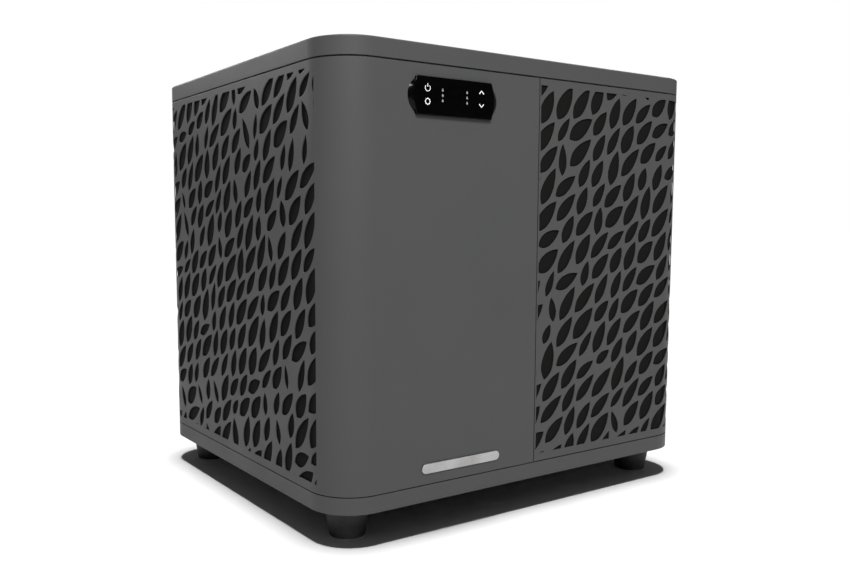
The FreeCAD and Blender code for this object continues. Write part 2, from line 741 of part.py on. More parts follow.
def screen_bend(start, sweep, centre_y):
    """The screen's stretch round one upright corner, just inside the casing sheet."""
    outer = float(d.corner_radius) - float(d.sheet_gauge) - float(d.screen_gap)
    centre = FreeCAD.Vector(-float(FLAT_X), centre_y, float(PAN_FLOOR))
    up = FreeCAD.Vector(0, 0, 1)
    height = float(d.screen_height)
    band = Part.makeCylinder(outer, height, centre, up, sweep)
    band = band.cut(Part.makeCylinder(outer - float(d.screen_gauge), height, centre, up, sweep))
    band.rotate(centre, up, start)
    return band


def screens():
    """Fine black nets just behind the leaf fields."""
    inset = float(d.sheet_gauge) + float(d.screen_gap)
    gauge = float(d.screen_gauge)
    flat_y = float(FLAT_Y)
    height = float(d.screen_height)
    side = Part.makeBox(gauge, 2 * flat_y, height,
                        FreeCAD.Vector(inset - float(HALF_W), -flat_y, float(PAN_FLOOR)))
    rear = Part.makeBox(float(FLAT_X) - float(d.screen_end_gap), gauge, height,
                        FreeCAD.Vector(-float(FLAT_X), float(HALF_D) - inset - gauge,
                                       float(PAN_FLOOR)))
    nose = screen_bend(180, float(d.field_clip_angle) + 2, -flat_y)
    shape = side.fuse([rear, screen_bend(90, 90, flat_y), nose]).removeSplitter()
    node(coded("ScreenLeft", shape), "leaf_screen_left")
    node(coded("ScreenRight", shape), "leaf_screen_right", rotation=HALF_TURN)


def evaporators():
    face_x = -(float(INNER_W) - float(d.coil_gap))
    face_y = float(INNER_D) - float(d.coil_gap)
    depth = float(d.coil_depth)
    bend = float(d.coil_bend)
    centre = (face_x + depth + bend, face_y - depth - bend)
    start_y = -float(d.coil_side_end)
    end_x = -float(d.coil_end_gap)
    shape = wrap_shape(face_x, face_y, centre, bend, depth, start_y, end_x,
                       float(d.coil_floor), float(d.coil_height))
    node(coded("CoilLeft", shape), "evaporator_left")
    node(coded("CoilRight", shape), "evaporator_right", rotation=HALF_TURN)
    plates = []
    bends = []
    for turn in (None, HALF_TURN):
        height = d.coil_floor + d.coil_height - PAN_FLOOR
        side_plate = box("CoilPlateSide", (d.coil_depth, d.coil_plate_gauge, height),
                         (face_x, start_y - d.coil_plate_gauge, PAN_FLOOR))
        rear_plate = box("CoilPlateRear", (d.coil_plate_gauge, d.coil_depth, height),
                         (end_x, face_y - depth, PAN_FLOOR))
        pair = group("CoilPlates", [side_plate, rear_plate])
        place(pair, rotation=turn)
        plates.append(pair)
        loops = []
        for step in range(8):
            low = float(d.coil_floor) + 32 + step * 52
            loop = [(face_x + depth / 2, start_y - 1.5, low),
                    (face_x + depth / 2, start_y - 14, low),
                    (face_x + depth / 2, start_y - 14, low + 26),
                    (face_x + depth / 2, start_y - 1.5, low + 26)]
            loops.append(bent_pipe("CoilLoop", loop, 4, 10))
        set_of_loops = group("CoilLoops", loops)
        place(set_of_loops, rotation=turn)
        bends.append(set_of_loops)
    node(group("EndPlates", plates), "evaporator_end_plates")
    node(group("ReturnBends", bends), "evaporator_return_bends")


# ---------------------------------------------------------------- top: cover, guard, deck

def top_cover():
    shell = tray("Cover", d.body_width, d.body_depth, d.corner_radius, COVER_FLOOR,
                 d.cover_height, d.cover_wall, False)
    roof = d.total_height - d.cover_wall
    floor = d.deck_floor + d.deck_gauge
    bosses = [rod("CoverBoss", 7, roof - floor + 1, (x, y, floor)) for x, y in COVER_SCREW_SPOTS]
    holes = [rod("CoverMouth", d.throat_radius, 20, (0, 0, roof - 5))]
    for x, y in COVER_SCREW_SPOTS:
        holes.append(rod("CoverHole", 2.2, 40, (x, y, floor - 5)))
        holes.append(rod("CoverSink", 5, 8, (x, y, d.total_height - 4)))
    solid = fuse("CoverSolid", [shell] + bosses)
    node(cut("TopCover", solid, holes), "top_cover")


def fan_deck():
    inset = d.cover_wall + 0.5
    deck = tray("Deck", d.body_width - inset * 2, d.body_depth - inset * 2,
                d.corner_radius - inset, d.deck_floor, d.deck_rim, d.deck_gauge, True)
    floor = d.deck_floor + d.deck_gauge - d.throat_height
    throat = rod("Throat", d.throat_radius + d.deck_gauge, d.throat_height, (0, 0, floor))
    holes = [rod("ThroatBore", d.throat_radius, 80, (0, 0, floor - 5))]
    for x, y in COVER_SCREW_SPOTS:
        holes.append(rod("DeckHole", 1.95, 10, (x, y, d.deck_floor - 4)))
    node(cut("FanDeck", fuse("DeckSolid", [deck, throat]), holes), "fan_deck")


def fan_guard():
    """A flat round grille of rings joined by six spokes."""
    roof = float(d.total_height) - float(d.cover_wall)
    floor = roof - float(d.guard_gauge)
    plate = Part.makeCylinder(float(d.guard_radius), float(d.guard_gauge),
                              FreeCAD.Vector(0, 0, floor))
    slots = []
    spokes = 6
    inner = 34.0
    while inner + float(d.guard_slot) < float(d.throat_radius):
        outer = inner + float(d.guard_slot)
        band = Part.makeCylinder(outer, 8, FreeCAD.Vector(0, 0, floor - 2))
        band = band.cut(Part.makeCylinder(inner, 8, FreeCAD.Vector(0, 0, floor - 2)))
        slots.append(band)
        inner = inner + float(d.guard_pitch)
    half = float(d.guard_spoke) / 2
    arms = []
    for number in range(spokes):
        arm = Part.makeBox(float(d.guard_radius), 2 * half, 8, FreeCAD.Vector(0, -half, floor - 2))
        arm.rotate(FreeCAD.Vector(), FreeCAD.Vector(0, 0, 1), number * 360 / spokes + 30)
        arms.append(arm)
    openings = Part.makeCompound(slots).cut(arms)
    node(coded("FanGuard", plate.cut(openings.Solids)), "fan_guard")


def casing_screws():
    screws = []
    for x, y in COVER_SCREW_SPOTS:
        top = d.total_height - 4
        head = rod("CoverScrewHead", 4.4, 2.8, (x, y, top))
        shank = rod("CoverScrewShank", 1.95, 26, (x, y, top - 26))
        screws.append(fuse("CoverScrew", [head, shank]))
    for level in REAR_SCREW_LEVELS:
        head = rod("RearScrewHead", 4, 2.4, (REAR_SCREW_X, HALF_D, level), TURN_Y)
        shank = rod("RearScrewShank", 1.95, 9, (REAR_SCREW_X, HALF_D - 9, level), TURN_Y)
        screws.append(fuse("RearScrew", [head, shank]))
    node(group("CasingScrews", screws), "casing_screws")


# ---------------------------------------------------------------- fan and motor

def fan_motor():
    floor = d.motor_floor
    top = floor + d.motor_height
    wall = 6
    bearing = d.shaft_radius + d.bearing_gap
    profile = [(bearing, floor), (d.motor_radius, floor), (d.motor_radius, top - 8),
               (d.motor_radius - 14, top), (bearing, top), (bearing, top - wall),
               (d.motor_cavity_radius, top - wall), (d.motor_cavity_radius, floor + wall),
               (bearing, floor + wall)]
    node(turned("FanMotor", profile), "fan_motor")


def fan_rotor():
    low = d.motor_floor + 9
    high = d.motor_floor + d.motor_height - 9
    profile = [(0, d.shaft_bottom), (d.shaft_radius, d.shaft_bottom), (d.shaft_radius, low),
               (d.rotor_radius, low), (d.rotor_radius, high), (d.shaft_radius, high),
               (d.shaft_radius, d.shaft_top), (0, d.shaft_top)]
    node(turned("FanRotor", profile), "fan_rotor")


def fan_bracket():
    floor = d.motor_floor - d.bracket_gauge
    edge = INNER_D - d.post_flange
    strip = box("BracketStrip", (d.bracket_width, edge * 2, d.bracket_gauge),
                (-d.bracket_width / 2, -edge, floor))
    tabs = [box("BracketTab", (d.bracket_width, d.bracket_gauge, 24),
                (-d.bracket_width / 2, spot, floor))
            for spot in (-edge, edge - d.bracket_gauge)]
    hole = rod("BracketHole", 12, 10, (0, 0, floor - 3))
    node(cut("FanBracket", fuse("BracketSolid", [strip] + tabs), [hole]), "fan_bracket")


def blade_section(radius, chord, pitch, height):
    """A thin cambered blade section standing across the blade at one radius."""
    thick = 2.4
    camber = chord * 0.06
    tilt = math.radians(pitch)

    def spot(run, rise):
        along = run * math.cos(tilt) - rise * math.sin(tilt)
        up = run * math.sin(tilt) + rise * math.cos(tilt)
        return FreeCAD.Vector(radius, along, height + up)
    upper = Part.Arc(spot(-chord / 2, 0), spot(0, camber + thick / 2), spot(chord / 2, 0)).toShape()
    lower = Part.Arc(spot(chord / 2, 0), spot(0, camber - thick / 2), spot(-chord / 2, 0)).toShape()
    return Part.Wire([upper, lower])


def fan_blades():
    middle = float(d.fan_floor) + float(d.fan_hub_height) / 2
    tip = float(d.fan_tip_radius)
    root = float(d.fan_hub_radius) - 4
    stations = ((root, 62, 34), (root + 40, 82, 27), (root + 85, 102, 21), (tip + 4, 122, 16))
    sections = [blade_section(radius, chord, pitch, middle) for radius, chord, pitch in stations]
    blade = Part.makeLoft(sections, True, False)
    rim = Part.makeCylinder(tip, 200, FreeCAD.Vector(0, 0, middle - 100))
    blade = blade.common(rim)
    hub = Part.makeCylinder(float(d.fan_hub_radius), float(d.fan_hub_height),
                            FreeCAD.Vector(0, 0, float(d.fan_floor)))
    bore = Part.makeCylinder(float(d.shaft_radius), 200, FreeCAD.Vector(0, 0, middle - 100))
    relief = Part.makeCylinder(float(d.fan_hub_radius) - 5, 22,
                               FreeCAD.Vector(0, 0, float(d.fan_floor) - 1))
    sleeve = Part.makeCylinder(12, 22, FreeCAD.Vector(0, 0, float(d.fan_floor) - 1))
    blades = []
    for number in range(5):
        copy = blade.copy()
        copy.rotate(FreeCAD.Vector(), FreeCAD.Vector(0, 0, 1), number * 72)
        blades.append(copy)
    shape = hub.fuse(blades).cut(relief.cut(sleeve)).cut(bore)
    node(coded("FanBlades", shape.removeSplitter()), "fan_blades")


def fan_nut():
    floor = d.fan_floor + d.fan_hub_height
    nut = hexagon("FanNutBody", 9, d.fan_nut_height, (0, 0, floor))
    hole = rod("FanNutHole", d.shaft_radius, 20, (0, 0, floor - 5))
    node(cut("FanNut", nut, [hole]), "fan_nut")


# ---------------------------------------------------------------- compressor

def grommet_spots():
    return [(d.compressor_x + d.mount_circle * math.cos(math.radians(angle)),
             d.compressor_y + d.mount_circle * math.sin(math.radians(angle)))
            for angle in GROMMET_ANGLES]


def compressor_shell():
    wall = d.shell_wall
    outer = d.shell_radius
    profile = [(0, d.shell_floor), (outer - 18, d.shell_floor), (outer, d.shell_floor + 18),
               (outer, d.shell_top - 18), (outer - 18, d.shell_top), (d.pipe_radius, d.shell_top),
               (d.pipe_radius, d.shell_top - wall), (outer - 19, d.shell_top - wall),
               (outer - wall, d.shell_top - 19), (outer - wall, d.shell_floor + 19),
               (outer - 19, d.shell_floor + wall), (0, d.shell_floor + wall)]
    shell = turned("ShellBody", profile)
    place(shell, (d.compressor_x, d.compressor_y, 0))
    ears = []
    for angle in GROMMET_ANGLES:
        ear = box("ShellEar", (d.mount_circle + 12 - 34, 26, 3.5), (34, -13, d.shell_floor - 3.5))
        turned_ear = group("ShellEarTurned", [ear])
        place(turned_ear, (d.compressor_x, d.compressor_y, 0),
              FreeCAD.Rotation(FreeCAD.Vector(0, 0, 1), angle))
        ears.append(turned_ear)
    disc = rod("ShellDisc", 40, 3.5, (d.compressor_x, d.compressor_y, d.shell_floor - 3.5))
    holes = [rod("EarHole", d.stud_radius, 12, (x, y, d.shell_floor - 8))
             for x, y in grommet_spots()]
    solid = fuse("ShellSolid", [shell, disc] + ears)
    node(cut("CompressorShell", solid, holes), "compressor_shell")


def compressor_inside():
    spot = (d.compressor_x, d.compressor_y, 0)
    inner = d.shell_radius - d.shell_wall
    stator = [(inner - 18, 190), (inner, 190), (inner, 275), (inner - 18, 275)]
    node(turned("Stator", stator), "compressor_stator", spot)
    bore = d.crank_radius + d.bearing_gap
    cavity = d.roller_radius + d.crank_throw + 0.6
    pump = [(bore, 92), (inner, 92), (inner, 152), (bore, 152), (bore, 136), (cavity, 136),
            (cavity, 108), (bore, 108)]
    node(turned("PumpBlock", pump), "compressor_pump_block", spot)
    x, y = spot[0], spot[1]
    shaft = rod("CrankShaft", d.crank_radius, 205, (x, y, 82))
    rotor = rod("CrankRotor", inner - 19, 90, (x, y, 187))
    roller = rod("CrankRoller", d.roller_radius, 26, (x + d.crank_throw, y, 109))
    node(fuse("CompressorRotor", [shaft, rotor, roller]), "compressor_rotor")


def compressor_mounts():
    top = d.shell_floor - 3.5
    grommets = []
    studs = []
    for x, y in grommet_spots():
        grommets.append(ring("Grommet", d.grommet_radius, d.stud_radius, top - PAN_FLOOR,
                             (x, y, PAN_FLOOR)))
        shank = rod("Stud", d.stud_radius, d.shell_floor + 6 - d.foot_height, (x, y, d.foot_height))
        nut = hexagon("StudNut", 8, 5, (x, y, d.shell_floor))
        studs.append(fuse("StudSet", [shank, nut]))
    node(group("Grommets", grommets), "compressor_grommets")
    node(group("Studs", studs), "compressor_studs")


def accumulator():
    radius = d.accumulator_radius
    profile = [(0, 160), (radius - 12, 160), (radius, 172), (radius, 298), (radius - 12, 310),
               (0, 310)]
    node(turned("Accumulator", profile), "accumulator",
         (d.accumulator_x, d.compressor_y, 0))


# ---------------------------------------------------------------- refrigerant circuit

def reversing_valve():
    x, y, z = d.valve_x, d.valve_y, d.valve_z
    start = x - d.valve_length / 2
    barrel = rod("ValveBarrel", d.valve_radius, d.valve_length, (start, y, z), TURN_X)
    bore = rod("ValveBore", d.valve_bore, d.valve_length - 8, (start + 4, y, z), TURN_X)
    node(cut("ReversingValve", barrel, [bore]), "reversing_valve_body")
    spool = rod("Spool", d.valve_bore - d.bearing_gap, d.spool_length, (start + 5, y, z), TURN_X)
    node(group("ValveSpool", [spool]), "reversing_valve_spool")


def pipes():
    x, y, z = float(d.valve_x), float(d.valve_y), float(d.valve_z)
    cx, cy = float(d.compressor_x), float(d.compressor_y)
    bend = float(d.pipe_bend)
    radius = float(d.pipe_radius)
    top = float(d.shell_top) - float(d.shell_wall)
    under = z - math.sqrt(float(d.valve_radius) ** 2 - radius ** 2) - 0.15
    over = z + math.sqrt(float(d.valve_radius) ** 2 - radius ** 2) + 0.9
    discharge = [(cx, cy, top), (cx, cy, 373), (x, y, 373), (x, y, over + 0.3)]
    node(bent_pipe("DischargePipe", discharge, radius, bend), "discharge_pipe")
    ax = float(d.accumulator_x)
    side_y = y - 33
    suction = [(x, y, under - 1), (x, y, 300), (x, side_y, 300), (ax, side_y, 300),
               (ax, side_y, 340), (ax, cy, 340), (ax, cy, 310)]
    node(bent_pipe("SuctionPipe", suction, radius, bend), "suction_pipe")
    neck = [(ax, cy, 160), (ax, cy, 122), (cx - float(d.shell_radius), cy, 122)]
    coil_y = float(INNER_D) - float(d.coil_gap) - float(d.coil_depth)
    gas_left = [(x - 22, y, under - 1), (x - 22, y, 270), (x - 50, y, 270),
                (x - 50, coil_y, 270)]
    gas_tank = [(x + 22, y, under - 1), (x + 22, y, 290), (x + 22, y + 25, 290),
                (float(d.tank_x) - float(d.tank_radius), y + 25, 290)]
    runs = [neck, gas_left]
    solids = [bent_pipe("GasRun", run, radius, bend) for run in runs]
    solids.append(bent_pipe("GasTank", gas_tank, radius, 9))
    tank_side = float(d.tank_x) - float(d.tank_radius)
    valve_top = 100.0
    liquid_in = [(tank_side, 120, 80), (12, 120, 80)]
    liquid_left = [(-12, 120, 80), (-60, 120, 80), (-60, coil_y, 80)]
    liquid_right = [(0, 120, valve_top), (0, 120, 125), (28, 120, 125), (28, -160, 125),
                    (60, -160, 125), (60, -coil_y, 125)]
    solids += [bent_pipe("LiquidRun", run, 4, 10) for run in (liquid_in, liquid_left, liquid_right)]
    node(group("CircuitPipes", solids), "circuit_pipes")
    barrel = rod("ExpansionBarrel", 12, 30, (0, 120, 70))
    foot = box("ExpansionFoot", (24, 24, 12), (-12, 108, 74))
    node(fuse("ExpansionValve", [barrel, foot]), "expansion_valve")


# ---------------------------------------------------------------- water side

def exchanger():
    x, y = d.tank_x, d.tank_y
    floor = PAN_FLOOR
    base = rod("TankBase", d.tank_radius + 10, 6, (x, y, floor))
    tank = rod("Tank", d.tank_radius, d.tank_top - floor - 12, (x, y, floor))
    cavity = rod("TankCavity", d.tank_radius - d.tank_wall, d.tank_top - floor - 12,
                 (x, y, floor + 6))
    solids = [base, tank]
    holes = [cavity]
    for level in (d.inlet_height, d.outlet_height):
        solids.append(rod("Stub", d.thread_radius - 4, d.stub_reach - y, (x, y, level), TURN_Y))
        solids.append(rod("StubThread", d.thread_radius, 15, (x, d.stub_reach - 15, level), TURN_Y))
        holes.append(rod("StubBore", d.stub_bore, d.stub_reach - y + 10, (x, y, level), TURN_Y))
    node(cut("Exchanger", fuse("TankSolid", solids), holes), "exchanger_tank")
    cap_floor = d.tank_top - 12
    lid = rod("Lid", d.tank_radius + 6, 12, (x, y, cap_floor))
    crown = rod("LidCrown", 30, 6, (x, y, d.tank_top))
    node(fuse("ExchangerLid", [lid, crown]), "exchanger_lid")


def titanium_coil():
    wound = float(d.coil_wound_radius)
    helix = Part.makeHelix(float(d.coil_pitch), float(d.coil_wound_height), wound)
    start = Part.Circle(FreeCAD.Vector(wound, 0, 0), FreeCAD.Vector(0, 1, 0), float(d.coil_tube_radius))
    section = Part.Wire([start.toShape()])
    shape = Part.Wire(helix).makePipeShell([section], True, True)
    node(coded("TitaniumCoil", shape), "titanium_coil", (d.tank_x, d.tank_y, 75))


def unions():
    face = d.stub_reach
    rings = []
    for word, level in (("inlet", d.inlet_height), ("outlet", d.outlet_height)):
        spot = (d.tank_x, 0, level)
        collar = d.thread_radius - 2
        neck = d.socket_radius + 4
        tail = [(d.stub_bore, face), (25.6, face), (25.6, face + 2.6), (29, face + 2.6),
                (29, face), (collar, face), (collar, face + 5), (neck, face + 5),
                (neck, d.tail_reach), (d.socket_radius, d.tail_reach),
                (d.socket_radius, d.tail_reach - d.socket_depth),
                (d.stub_bore, d.tail_reach - d.socket_depth)]
        node(turned("Tail", tail), "union_tail_" + word, spot, TURN_Y)
        start = face - 12
        gap = d.running_gap
        nut = [(d.thread_radius + gap, start), (d.union_nut_radius - 3, start),
               (d.union_nut_radius - 3, start + d.union_nut_length),
               (neck + gap, start + d.union_nut_length), (neck + gap, face + 5 + gap),
               (d.thread_radius + gap, face + 5 + gap)]
        nut_body = turned("UnionNut", nut)
        place(nut_body, spot, TURN_Y)
        ribs = []
        for number in range(10):
            angle = number * 36
            rib = box("Rib", (4.5, 6, d.union_nut_length - 2), (d.union_nut_radius - 4.5, -3, 1))
            arm = group("RibTurned", [rib])
            place(arm, rotation=FreeCAD.Rotation(FreeCAD.Vector(0, 0, 1), angle))
            ribs.append(arm)
        crown = fuse("Ribs", ribs)
        place(crown, (d.tank_x, start, level), TURN_Y)
        node(fuse("UnionNutRibbed", [nut_body, crown]), "union_nut_" + word)
        profile = [(26, face), (28.6, face), (28.6, face + 2.4), (26, face + 2.4)]
        seal = turned("Seal", profile)
        place(seal, spot, TURN_Y)
        rings.append(seal)
    node(group("Seals", rings), "union_seals")


# ---------------------------------------------------------------- control pod and badge

def pod_slice(depth):
    """The pod's outline at a depth behind its front, straight above and below with round ends.

    The ends bulge most where the pod meets the sheet and least at the front.
    """
    share = depth / float(d.pod_proud)
    bulge = float(d.pod_glass_bulge) * (1 - share) + float(d.pod_base_bulge) * share
    half_width = float(d.pod_width) / 2
    half_height = float(d.pod_height) / 2
    corner = 3.0
    middle = FreeCAD.Vector(float(d.pod_x), depth - float(HALF_D) - float(d.pod_proud),
                            float(d.pod_z))

    def spot(x, z):
        return middle + FreeCAD.Vector(x, 0, z)

    def end(sign):
        return Part.Arc(spot(sign * half_width, -half_height + corner),
                        spot(sign * (half_width + bulge), 0),
                        spot(sign * half_width, half_height - corner)).toShape()

    def turn(sign_x, sign_z):
        return Part.Arc(spot(sign_x * half_width, sign_z * (half_height - corner)),
                        spot(sign_x * (half_width - corner * 0.22), sign_z * (half_height - corner * 0.22)),
                        spot(sign_x * (half_width - corner), sign_z * half_height)).toShape()
    top = Part.makeLine(spot(corner - half_width, half_height), spot(half_width - corner, half_height))
    bottom = Part.makeLine(spot(corner - half_width, -half_height),
                           spot(half_width - corner, -half_height))
    edges = [bottom, turn(1, -1), end(1), turn(1, 1), top, turn(-1, 1), end(-1), turn(-1, -1)]
    return Part.Wire(Part.__sortEdges__(edges))


def rounded(shape, radius, wanted):
    edges = [edge for edge in shape.Edges if wanted(edge)]
    return shape.makeFillet(radius, edges)


def control_pod():
    face = -float(HALF_D)
    glass_back = face - float(d.pod_proud) + float(d.glass_gauge)
    window = (float(d.pod_x), float(d.pod_z))
    layers = [pod_slice(depth) for depth in (0, float(d.glass_gauge), float(d.pod_proud))]
    housing = Part.makeLoft([layers[1], layers[2]], True, True)
    rear_box = Part.makeBox(80, 14, 22, FreeCAD.Vector(window[0] - 40, face, window[1] - 11))
    well = Part.makeBox(76, 13.5, 18, FreeCAD.Vector(window[0] - 38, glass_back, window[1] - 9))
    node(coded("ControlHousing", housing.fuse(rear_box).cut(well)), "control_housing")
    glass = Part.makeLoft([layers[0], layers[1]], True, True)
    front_edge = face - float(d.pod_proud) + 0.01
    glass = rounded(glass, 0.8, lambda edge: edge.BoundBox.YMax < front_edge)
    node(coded("ControlGlass", glass), "control_glass")
    board = box("Board", (74, 1.6, 17), (d.pod_x - 37, -HALF_D - 1.5, d.pod_z - 8.5))
    node(group("ControlBoard", [board]), "control_board")


def badge():
    """A blank badge with round ends, bonded to the sheet."""
    half = (d.badge_width - d.badge_height) / 2
    bar = box("BadgeBar", (half * 2, d.badge_gauge, d.badge_height),
              (d.badge_x - half, -HALF_D - d.badge_gauge, d.badge_z - d.badge_height / 2))
    ends = [rod("BadgeEnd", d.badge_height / 2, d.badge_gauge,
                (d.badge_x + side * half, -HALF_D - d.badge_gauge, d.badge_z), TURN_Y)
            for side in (-1, 1)]
    node(fuse("Badge", [bar] + ends), "badge_plate")


# ---------------------------------------------------------------- electrics

def electrical_box():
    back = -INNER_D + 2 + d.box_depth
    low_x = d.box_x - d.box_width / 2
    front = back - d.box_depth
    gauge = d.box_gauge
    shell = box("BoxShell", (d.box_width, d.box_depth - 2, d.box_height), (low_x, front + 2, d.box_floor))
    hollow = box("BoxHollow", (d.box_width - gauge * 2, d.box_depth - 2 - gauge, d.box_height - gauge * 2),
                 (low_x + gauge, front + 2, d.box_floor + gauge))
    node(cut("ElectricalBox", shell, [hollow]), "electrical_box")
    lid = box("BoxLid", (d.box_width, 2, d.box_height), (low_x, front, d.box_floor))
    node(group("BoxCover", [lid]), "electrical_box_cover")
    board = box("MainBoard", (d.box_width - 20, 1.6, d.box_height - 20),
                (low_x + 10, back - 12, d.box_floor + 10))
    spacers = [box("Spacer", (6, 12 - 1.6 - gauge, 6), (x, back - 12 + 1.6, z))
               for x in (low_x + 12, low_x + d.box_width - 18)
               for z in (d.box_floor + 12, d.box_floor + d.box_height - 18)]
    node(fuse("MainBoardSet", [board] + spacers), "main_board")


def cable_gland():
    x, z = d.gland_x, d.gland_z
    barrel = rod("GlandBarrel", 8, 24, (x, HALF_D - 12, z), TURN_Y)
    collar = hexagon("GlandCollar", 12, 6, (x, HALF_D, z), TURN_Y)
    dome = rod("GlandDome", 10, 18, (x, HALF_D + 4, z), TURN_Y)
    nut = hexagon("GlandNut", 12, 5, (x, INNER_D - 5, z), TURN_Y)
    bore = rod("GlandBore", d.gland_bore, 60, (x, HALF_D - 20, z), TURN_Y)
    node(cut("CableGland", fuse("GlandSolid", [barrel, collar, dome, nut]), [bore]), "cable_gland")


# ---------------------------------------------------------------- build, check and write

def build():
    base_pan()
    feet()
    drain_nozzle()
    grilles()
    plain_sheets()
    posts()
    screens()
    evaporators()
    top_cover()
    fan_deck()
    fan_guard()
    casing_screws()
    fan_motor()
    fan_rotor()
    fan_bracket()
    fan_blades()
    fan_nut()
    compressor_shell()
    compressor_inside()
    compressor_mounts()
    accumulator()
    reversing_valve()
    pipes()
    exchanger()
    titanium_coil()
    unions()
    control_pod()
    badge()
    electrical_box()
    cable_gland()


def check_and_write():
    doc.recompute()
    for thing in doc.Objects:
        if "Invalid" in thing.State or "Error" in thing.State:
            raise RuntimeError(thing.Name + " failed: " + str(thing.State))
    for thing in NODES:
        if thing.Shape.isNull() or not thing.Shape.isValid() or not thing.Shape.Solids:
            raise RuntimeError(thing.Label + " has no valid solid")
    os.makedirs("parts", exist_ok=True)
    for thing in NODES:
        thing.Shape.exportStep("parts/" + thing.Label + ".step")
        print(thing.Label, len(thing.Shape.Solids), round(thing.Shape.Volume))


build()
check_and_write()
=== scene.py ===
"""Looks of the top-discharge heat pump unit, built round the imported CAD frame.

Everything is in metres in the frame's own axes: front -Y, width along X, floor at z = 0.
"""
import bpy
import bmesh
import json
import math
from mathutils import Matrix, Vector


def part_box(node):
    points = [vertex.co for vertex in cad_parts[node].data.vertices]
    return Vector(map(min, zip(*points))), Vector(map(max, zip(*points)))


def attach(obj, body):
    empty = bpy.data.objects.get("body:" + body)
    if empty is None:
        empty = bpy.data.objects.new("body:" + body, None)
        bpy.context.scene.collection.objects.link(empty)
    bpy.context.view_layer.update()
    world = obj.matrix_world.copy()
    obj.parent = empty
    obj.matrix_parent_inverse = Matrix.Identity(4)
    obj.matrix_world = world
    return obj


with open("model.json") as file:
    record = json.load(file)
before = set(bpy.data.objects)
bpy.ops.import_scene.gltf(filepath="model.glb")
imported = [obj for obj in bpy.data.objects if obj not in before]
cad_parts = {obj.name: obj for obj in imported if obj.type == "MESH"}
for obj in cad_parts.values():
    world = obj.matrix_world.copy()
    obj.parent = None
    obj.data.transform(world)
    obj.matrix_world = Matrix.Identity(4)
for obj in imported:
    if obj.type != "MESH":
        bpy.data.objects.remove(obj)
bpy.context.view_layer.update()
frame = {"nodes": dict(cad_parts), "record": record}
nodes = frame["nodes"]

MM = 0.001
PAINT_LEVEL = 0.052          # linear grey of the graphite powder coat

# the photograph's camera: where it stands from the middle of the case, how it is turned, its lens
CAMERA_FROM_CASE = (-0.7207, -0.9865)
CAMERA_HEIGHT = 0.3471
CAMERA_TILT = 84.37
CAMERA_TURN = -33.98
CAMERA_LENS = 36.47
CAMERA_SHIFT = (0.0478, 0.0254)

# soft panels that light the unit alone: name, place, aim, width, height, watts
PANELS = (
    ("left_panel", (-0.68, 1.4, 1.1), (-0.28, 0.0, 0.4), 0.5, 0.5, 9.0),
    ("front_panel", (-0.9, -2.0, 2.3), (0.0, -0.26, 0.28), 1.0, 1.0, 112.0),
    ("rear_panel", (0.9, 2.2, 2.3), (0.0, 0.2, 0.28), 1.2, 1.2, 34.0),
    ("right_panel", (2.4, 0.2, 2.3), (0.28, 0.0, 0.28), 1.2, 1.2, 45.0),
    ("top_panel", (0.0, 0.1, 2.6), (0.0, 0.0, 0.5), 1.8, 1.8, 36.0),
)
FLOOR_SIZE = 60
FLOOR_LIGHT_STRENGTH = 4.5
FLOOR_LIGHT_ANGLE = 8
BACKDROP_STRENGTH = 1.0
LEVEL_LIGHT = 0.008          # strength of the air's light at floor level ...
HIGH_LIGHT = 0.14            # ... and from this height of its sphere upwards
HIGH_FROM = 0.9


# ---------------------------------------------------------------- node helpers

